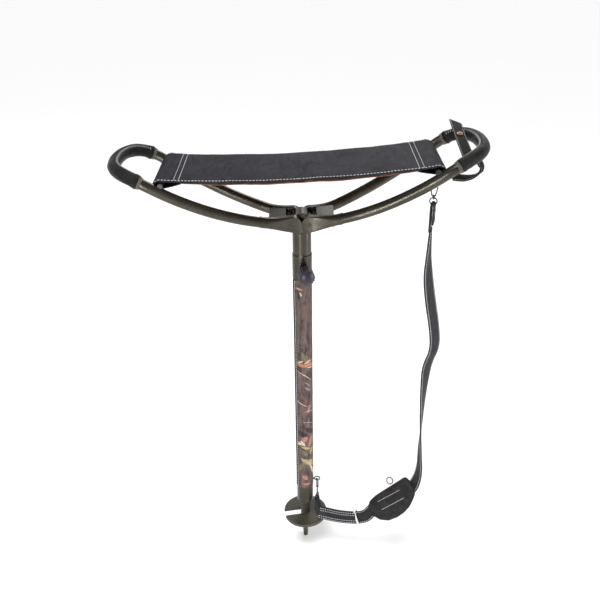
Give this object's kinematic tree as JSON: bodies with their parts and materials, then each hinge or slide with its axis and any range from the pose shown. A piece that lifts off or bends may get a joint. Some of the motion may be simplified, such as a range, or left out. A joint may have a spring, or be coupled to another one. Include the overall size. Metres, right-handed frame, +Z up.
{
  "type": "folding seat stick",
  "caption": "Folding one-legged seat stick: leather sling between two hinged hoop handles on a telescopic spiked column with a carrying strap.",
  "frame": {"origin": "on the column's axis at the top of the ground spike's pin, which is ground level", "axes": "+Z up the column, X along the seat from handle to handle, Y from the front arms to the rear arms"},
  "size_m": [0.4862, 0.1318, 0.6969],
  "materials": {
    "bronze_paint": "satin",
    "foot_steel": "satin",
    "black_leather": "satin",
    "sling_leather": "matte",
    "binding_thread": "matte",
    "camo_fabric": "matte",
    "nylon": "matte",
    "bare_tube": "satin",
    "plain_steel": "satin",
    "black_wire": "satin",
    "bright_steel": "polished",
    "copper_stud": "satin",
    "knob_plastic": "gloss"
  },
  "bodies": {
    "leg": {"outer_tube": "bronze_paint", "camo_sleeve": "camo_fabric", "clamp_collar": "bronze_paint", "guide_bush": "nylon", "clamp_nut": "bronze_paint", "foot_ferrule": "bronze_paint", "ground_spike": "foot_steel", "foot_eye": "black_wire", "foot_hook": "black_wire", "foot_hook_ring": "black_wire", "strap_tail": "black_leather", "strap_lower": "black_leather", "strap_slider": "bright_steel", "shoulder_pad": "black_leather", "pad_keeper": "black_leather", "pad_ring": "bright_steel", "strap_upper": "black_leather"},
    "seat_post": {"inner_tube": "bare_tube", "tube_plug": "nylon", "hub": "bronze_paint", "hinge_pins": "plain_steel", "sling_seat": "sling_leather"},
    "left_handle": {"left_yoke": "bronze_paint", "left_handle_tube": "bronze_paint", "left_grip": "black_leather", "left_grip_bindings": "binding_thread", "left_sling_bar": "plain_steel", "left_bar_screws": "plain_steel"},
    "right_handle": {"right_yoke": "bronze_paint", "right_handle_tube": "bronze_paint", "right_grip": "black_leather", "right_grip_bindings": "binding_thread", "right_sling_bar": "plain_steel", "right_bar_screws": "plain_steel", "closing_strap": "black_leather", "press_stud": "copper_stud", "strap_bail": "black_wire", "strap_swivel_ring": "black_wire", "strap_top_ring": "black_wire", "strap_head": "black_leather"},
    "knob": {"clamp_screw": "plain_steel", "clamp_knob": "knob_plastic", "knob_cap": "knob_plastic"},
    "disc": {"mud_disc": "foot_steel"},
    "hook_gate": {"foot_hook_gate": "black_wire"}
  },
  "joints": [
    {"name": "height_slide", "type": "slide", "parent": "leg", "child": "seat_post", "axis": [0, 0, 1], "range_m": [0, 0.12]},
    {"name": "left_fold", "type": "hinge", "parent": "seat_post", "child": "left_handle", "pos_m": [-0.01, 0, 0.5335], "axis": [0, 1, 0], "range_deg": [0, 63], "deforming": ["sling_seat"]},
    {"name": "right_fold", "type": "hinge", "parent": "seat_post", "child": "right_handle", "pos_m": [0.01, 0, 0.5335], "axis": [0, -1, 0], "range_deg": [0, 58]},
    {"name": "knob_turn", "type": "hinge", "parent": "leg", "child": "knob", "pos_m": [0, 0, 0.461], "axis": [0.1736, -0.9848, 0], "range_deg": [0, 540]},
    {"name": "disc_turn", "type": "hinge", "parent": "leg", "child": "disc", "pos_m": [0, 0, 0.006], "axis": [0, 0, 1], "continuous": true},
    {"name": "gate_open", "type": "hinge", "parent": "leg", "child": "hook_gate", "pos_m": [0.01893, -0.00286, 0.0625], "axis": [0.893, 0.45, 0], "range_deg": [0, 14], "stiffness_Nm_per_rad": 0.02}
  ]
}
